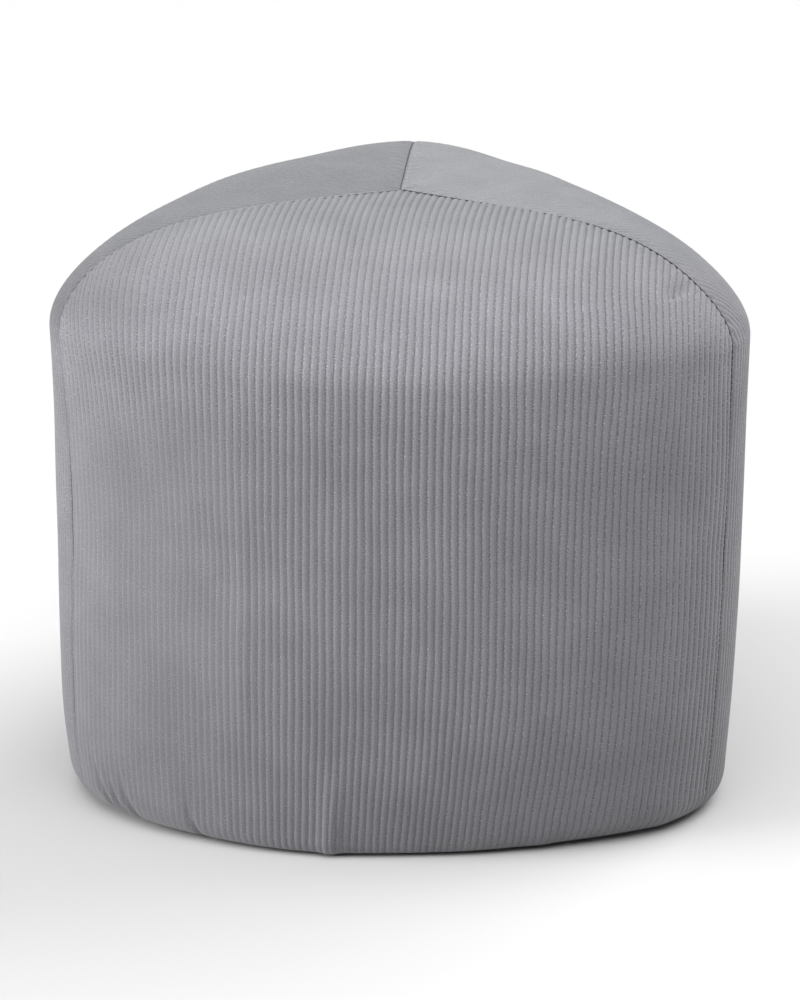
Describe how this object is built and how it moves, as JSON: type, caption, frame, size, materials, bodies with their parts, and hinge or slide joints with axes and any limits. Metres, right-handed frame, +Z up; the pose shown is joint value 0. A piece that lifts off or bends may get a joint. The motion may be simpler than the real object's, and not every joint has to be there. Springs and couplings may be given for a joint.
{
  "type": "pouf",
  "caption": "Three-sided floor pouf in wide-wale cord: rounded-triangle plan, upright ribbed walls running over a soft shoulder, gently domed top with seams meeting at its middle.",
  "frame": {"origin": "on the floor, straight under the point where the three top seams meet", "axes": "+Z up; one seam runs from the middle of the top along +Y, and the middle of the front panel faces -Y"},
  "size_m": [0.4864, 0.4731, 0.423],
  "materials": {
    "cord": "matt cotton cord with a short upright pile, cool mid grey",
    "base_cloth": "plain matt lining-weight cloth, near black"
  },
  "bodies": {
    "root": {"panel_front": "cord", "panel_back_right": "cord", "panel_back_left": "cord", "base_panel": "base_cloth"}
  },
  "joints": []
}
